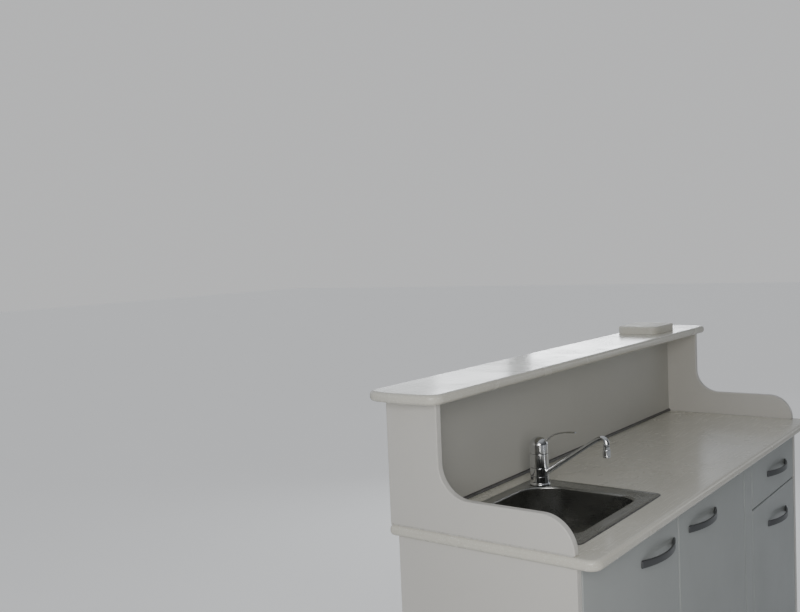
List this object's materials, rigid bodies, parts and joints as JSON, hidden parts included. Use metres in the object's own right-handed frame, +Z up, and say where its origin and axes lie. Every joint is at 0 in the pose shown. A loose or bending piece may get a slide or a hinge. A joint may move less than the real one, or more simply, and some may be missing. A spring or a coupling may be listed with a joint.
{
  "type": "galley counter of a catamaran saloon",
  "caption": "Freestanding white galley counter with inset steel sink, mixer tap, hinged doors, drawers and a raised bar top carried on S-curved end cheeks and a riser.",
  "frame": {"origin": "on the floor, at the middle of the counter's length and of its overall depth", "axes": "+X to the right along the counter seen from its doors, +Y from the doors towards the bar top's back edge, +Z up"},
  "size_m": [1.848, 0.587, 1.258],
  "materials": {
    "panel_white": "satin white laminate on board",
    "front_white": "satin cool white laminate fronts",
    "carcass_board": "matt pale carcass board",
    "slab_cream": "smooth off-white solid surface with rounded edges",
    "sink_steel": "brushed stainless steel",
    "tap_chrome": "polished chrome plating",
    "handle_metal": "satin dark grey metal",
    "fitting_steel": "zinc plated steel pivots and runners",
    "trap_plastic": "white moulded plastic"
  },
  "bodies": {
    "counter": {"end_panel_left": "panel_white", "end_panel_right": "panel_white", "back_panel": "panel_white", "toe_board": "carcass_board", "floor_board": "carcass_board", "partition": "carcass_board", "front_stile": "front_white", "front_rail_left": "carcass_board", "front_rail_right": "carcass_board", "worktop": "slab_cream", "cheek_left": "panel_white", "cheek_right": "panel_white", "riser_panel": "panel_white", "riser_back_panel": "panel_white", "bar_top": "slab_cream", "bar_pad": "slab_cream", "sink": "sink_steel", "sink_waste": "sink_steel", "waste_trap": "trap_plastic", "tap_body": "tap_chrome", "tap_lever": "tap_chrome", "door_left_upper_pivot": "fitting_steel", "door_left_lower_pivot": "fitting_steel", "door_right_upper_pivot": "fitting_steel", "door_right_lower_pivot": "fitting_steel", "top_drawer_left_channel": "fitting_steel", "top_drawer_right_channel": "fitting_steel", "deep_drawer_left_channel": "fitting_steel", "deep_drawer_right_channel": "fitting_steel"},
    "left_door": {"door_left": "front_white", "door_left_handle": "handle_metal"},
    "right_door": {"door_right": "front_white", "door_right_handle": "handle_metal"},
    "top_drawer": {"top_drawer_front": "front_white", "top_drawer_box": "carcass_board", "top_drawer_handle": "handle_metal", "top_drawer_left_slide": "fitting_steel", "top_drawer_right_slide": "fitting_steel"},
    "deep_drawer": {"deep_drawer_front": "front_white", "deep_drawer_box": "carcass_board", "deep_drawer_handle": "handle_metal", "deep_drawer_left_slide": "fitting_steel", "deep_drawer_right_slide": "fitting_steel"},
    "spout": {"tap_spout": "tap_chrome"}
  },
  "joints": [
    {"name": "left_door_hinge", "type": "hinge", "parent": "counter", "child": "left_door", "pos_m": [-0.846, -0.2325, 0.494], "axis": [0, 0, -1], "range_deg": [0, 95]},
    {"name": "right_door_hinge", "type": "hinge", "parent": "counter", "child": "right_door", "pos_m": [0.265, -0.2325, 0.494], "axis": [0, 0, 1], "range_deg": [0, 95]},
    {"name": "top_drawer_slide", "type": "slide", "parent": "counter", "child": "top_drawer", "axis": [0, -1, 0], "range_m": [0, 0.33]},
    {"name": "deep_drawer_slide", "type": "slide", "parent": "counter", "child": "deep_drawer", "axis": [0, -1, 0], "range_m": [0, 0.33]},
    {"name": "spout_swivel", "type": "hinge", "parent": "counter", "child": "spout", "pos_m": [-0.38, 0.1155, 0.95], "axis": [0, 0, 1], "range_deg": [-90, 105]}
  ]
}
